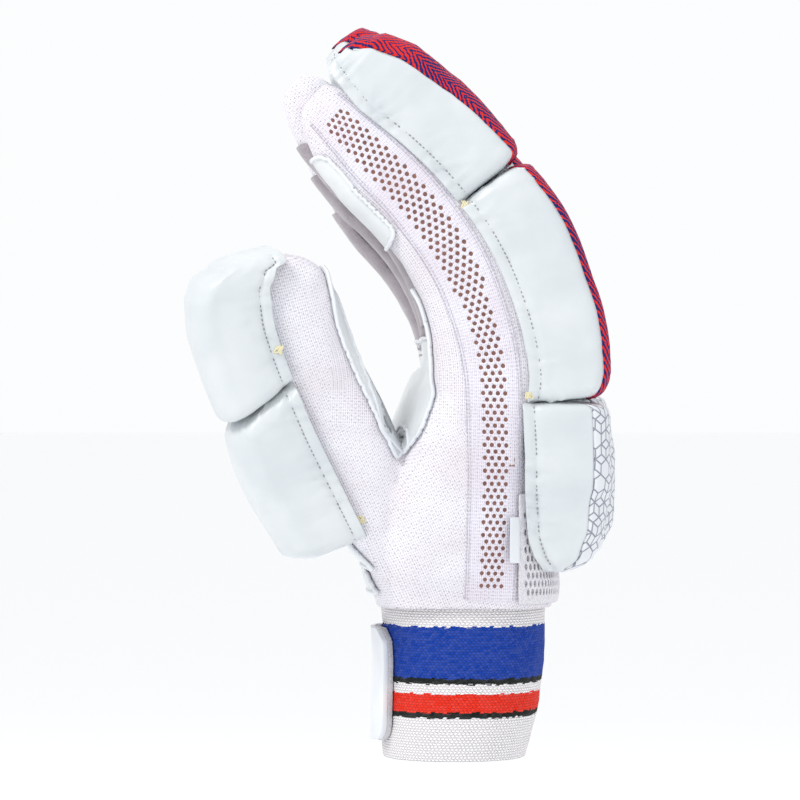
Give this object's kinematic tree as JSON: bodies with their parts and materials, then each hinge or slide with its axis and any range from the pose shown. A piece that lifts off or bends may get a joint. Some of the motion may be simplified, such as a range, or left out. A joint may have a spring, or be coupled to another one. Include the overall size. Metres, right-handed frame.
{
  "type": "cricket batting glove",
  "caption": "Right-hand cricket batting glove in its worn form, with padded finger rolls, thumb pads, a pierced knit side and a striped elastic wristband.",
  "frame": {"origin": "middle of the wrist opening, at the lower edge of the wristband", "axes": "+Z from the wrist to the fingers, +X out of the back of the hand, -Y to the thumb side"},
  "size_m": [0.1567, 0.1201, 0.2766],
  "materials": {
    "knit": "fine ribbed white knit",
    "pierced_knit": "white knit pierced with rows of holes",
    "pad_leather": "smooth white coated leather, slightly glossy",
    "palm_leather": "soft off-white leather",
    "zigzag_cloth": "orange-red and navy zigzag woven cloth",
    "hexagon_print": "white with a grey line pattern of hexagons",
    "spacer_cloth": "white open spacer mesh",
    "elastic": "coarse elastic webbing, white with blue, black and orange stripes",
    "strap": "white hook-and-loop tab",
    "label": "smooth plain white tape"
  },
  "bodies": {
    "root": {"hand_shell": "knit", "index_back_crown": "hexagon_print", "index_back_roll": "pad_leather", "index_knuckle_crown": "zigzag_cloth", "index_knuckle_roll": "pad_leather", "index_patch": "palm_leather", "index_sleeve": "knit", "index_tip_crown": "zigzag_cloth", "index_tip_roll": "pad_leather", "knuckle_shell": "knit", "label_tab": "label", "little_back_crown": "hexagon_print", "little_back_roll": "pad_leather", "little_knuckle_crown": "zigzag_cloth", "little_knuckle_roll": "pad_leather", "little_patch": "palm_leather", "little_sleeve": "knit", "little_tip_crown": "zigzag_cloth", "little_tip_roll": "pad_leather", "middle_back_crown": "hexagon_print", "middle_back_roll": "pad_leather", "middle_knuckle_crown": "zigzag_cloth", "middle_knuckle_roll": "pad_leather", "middle_patch": "palm_leather", "middle_sleeve": "knit", "middle_tip_crown": "zigzag_cloth", "middle_tip_roll": "pad_leather", "palm_patch": "palm_leather", "pierced_panel": "pierced_knit", "ring_back_crown": "hexagon_print", "ring_back_roll": "pad_leather", "ring_knuckle_crown": "zigzag_cloth", "ring_knuckle_roll": "pad_leather", "ring_patch": "palm_leather", "ring_sleeve": "knit", "ring_tip_crown": "zigzag_cloth", "ring_tip_roll": "pad_leather", "spacer_mesh": "spacer_cloth", "strap_tab": "strap", "thumb_base_pad": "pad_leather", "thumb_patch": "palm_leather", "thumb_sleeve": "knit", "thumb_tip_pad": "pad_leather", "wristband": "elastic"}
  },
  "joints": []
}
